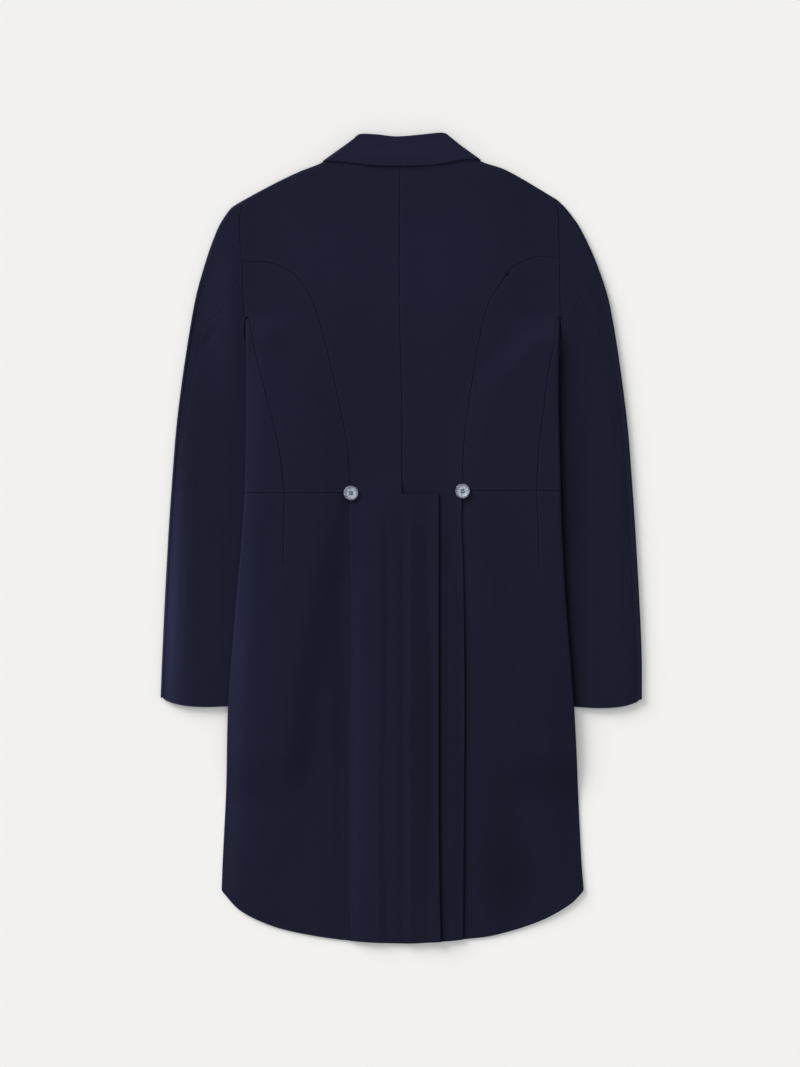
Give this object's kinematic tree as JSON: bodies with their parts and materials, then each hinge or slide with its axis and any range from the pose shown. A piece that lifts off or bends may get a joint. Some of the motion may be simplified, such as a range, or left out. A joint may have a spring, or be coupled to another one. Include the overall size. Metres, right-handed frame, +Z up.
{
  "type": "morning coat",
  "caption": "Tailcoat with a cutaway front, laid flat with its back up: vented tails, side pleats, a folded collar and sleeves at its sides.",
  "frame": {"origin": "on the surface it lies on, under the middle of the coat's outline", "axes": "+Y towards the collar, +X towards the coat's right side seen from the back, +Z up out of its back"},
  "size_m": [0.624, 1.05, 0.0172],
  "materials": {
    "wool": "very dark navy fine plain wool, matt with a soft sheen",
    "button": "mottled grey blue, softly polished"
  },
  "bodies": {
    "root": {"back_left": "wool", "back_right": "wool", "side_body_left": "wool", "side_body_right": "wool", "forepart_left": "wool", "forepart_right": "wool", "skirt_left": "wool", "skirt_right": "wool", "top_sleeve_left": "wool", "top_sleeve_right": "wool", "under_sleeve_left": "wool", "under_sleeve_right": "wool", "lapel_left": "wool", "lapel_right": "wool", "collar": "wool", "waist_button_left": "button", "waist_button_right": "button", "front_button": "button"}
  },
  "joints": []
}
